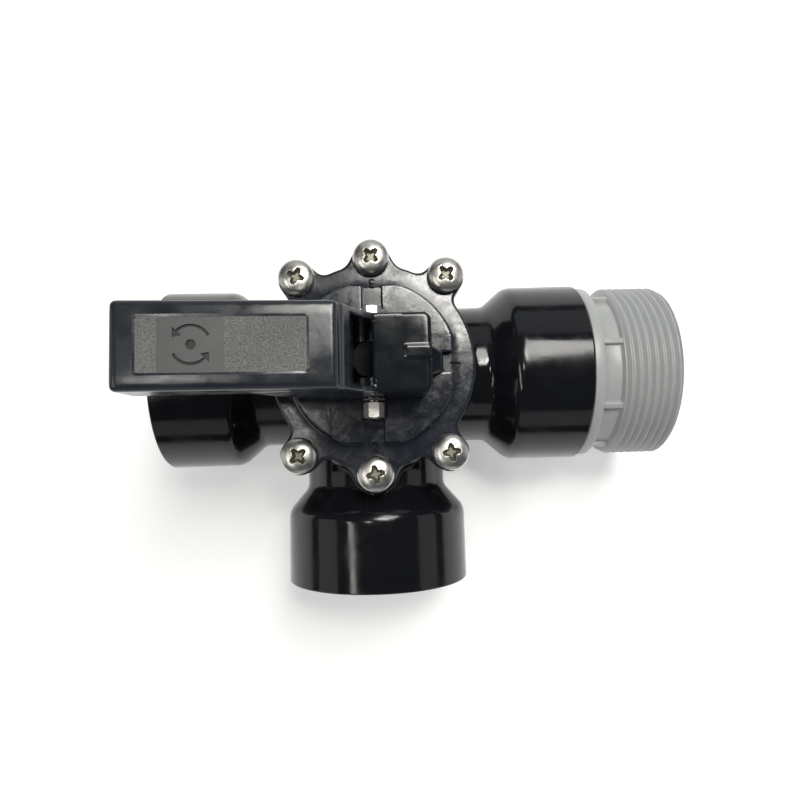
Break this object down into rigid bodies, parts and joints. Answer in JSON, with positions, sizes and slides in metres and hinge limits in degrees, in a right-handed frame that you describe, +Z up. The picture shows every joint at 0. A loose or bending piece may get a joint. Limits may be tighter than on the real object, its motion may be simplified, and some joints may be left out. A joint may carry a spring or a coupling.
{
  "type": "three way valve",
  "caption": "Three way diverter valve with pipe sockets on two branches, a male threaded adapter on the third, a screwed cover and a hinged press-to-turn lever.",
  "frame": {"origin": "centre of the flat foot under the chamber, on the stem's axis; the flow axis is 37.5 mm above it", "axes": "+Z up the stem, +X towards the threaded adapter, the branch port along -Y"},
  "size_m": [0.2075, 0.1342, 0.1339],
  "materials": {
    "black_plastic": "glossy near-black moulded plastic",
    "slate_plastic": "semi-gloss blue-black moulded plastic with fine rub marks",
    "handle_plastic": "semi-gloss black moulded plastic with a grained grip panel",
    "grey_plastic": "semi-matte light grey moulded plastic",
    "rotor_plastic": "satin black moulded plastic",
    "stainless_steel": "bright stainless steel",
    "spring_steel": "drawn stainless wire",
    "ring_rubber": "matte black rubber",
    "seal_rubber": "matte black rubber"
  },
  "bodies": {
    "root": {"valve_body": "black_plastic", "valve_cover": "slate_plastic", "cover_oring": "ring_rubber", "cover_screw_1": "stainless_steel", "cover_screw_2": "stainless_steel", "cover_screw_3": "stainless_steel", "cover_screw_4": "stainless_steel", "cover_screw_5": "stainless_steel", "cover_screw_6": "stainless_steel", "union_adapter": "grey_plastic"},
    "spring_seat": {"upper_spring_washer": "stainless_steel", "return_spring": "spring_steel"},
    "rotor": {"diverter_rotor": "rotor_plastic", "port_seal": "seal_rubber", "stem_oring_1": "ring_rubber", "stem_oring_2": "ring_rubber", "lower_spring_washer": "stainless_steel", "pivot_bolt": "stainless_steel", "pivot_nut": "stainless_steel", "pivot_washer_1": "stainless_steel", "pivot_washer_2": "stainless_steel"},
    "lever": {"handle": "handle_plastic"}
  },
  "joints": [
    {"name": "handle_turn", "type": "hinge", "parent": "root", "child": "spring_seat", "pos_m": [0, 0, 0.0884], "axis": [0, 0, 1], "range_deg": [-90, 90]},
    {"name": "rotor_lift", "type": "slide", "parent": "spring_seat", "child": "rotor", "axis": [0, 0, 1], "range_m": [0, 0.0035], "deforming": ["return_spring"]},
    {"name": "handle_press", "type": "hinge", "parent": "rotor", "child": "lever", "pos_m": [0, 0, 0.0884], "axis": [0, -1, 0], "range_deg": [0, 14], "stiffness_Nm_per_rad": 3, "springref_deg": -11.46}
  ],
  "couplings": [
    {"joint": "rotor_lift", "follows": "handle_press", "m_per_rad": 0.014}
  ]
}
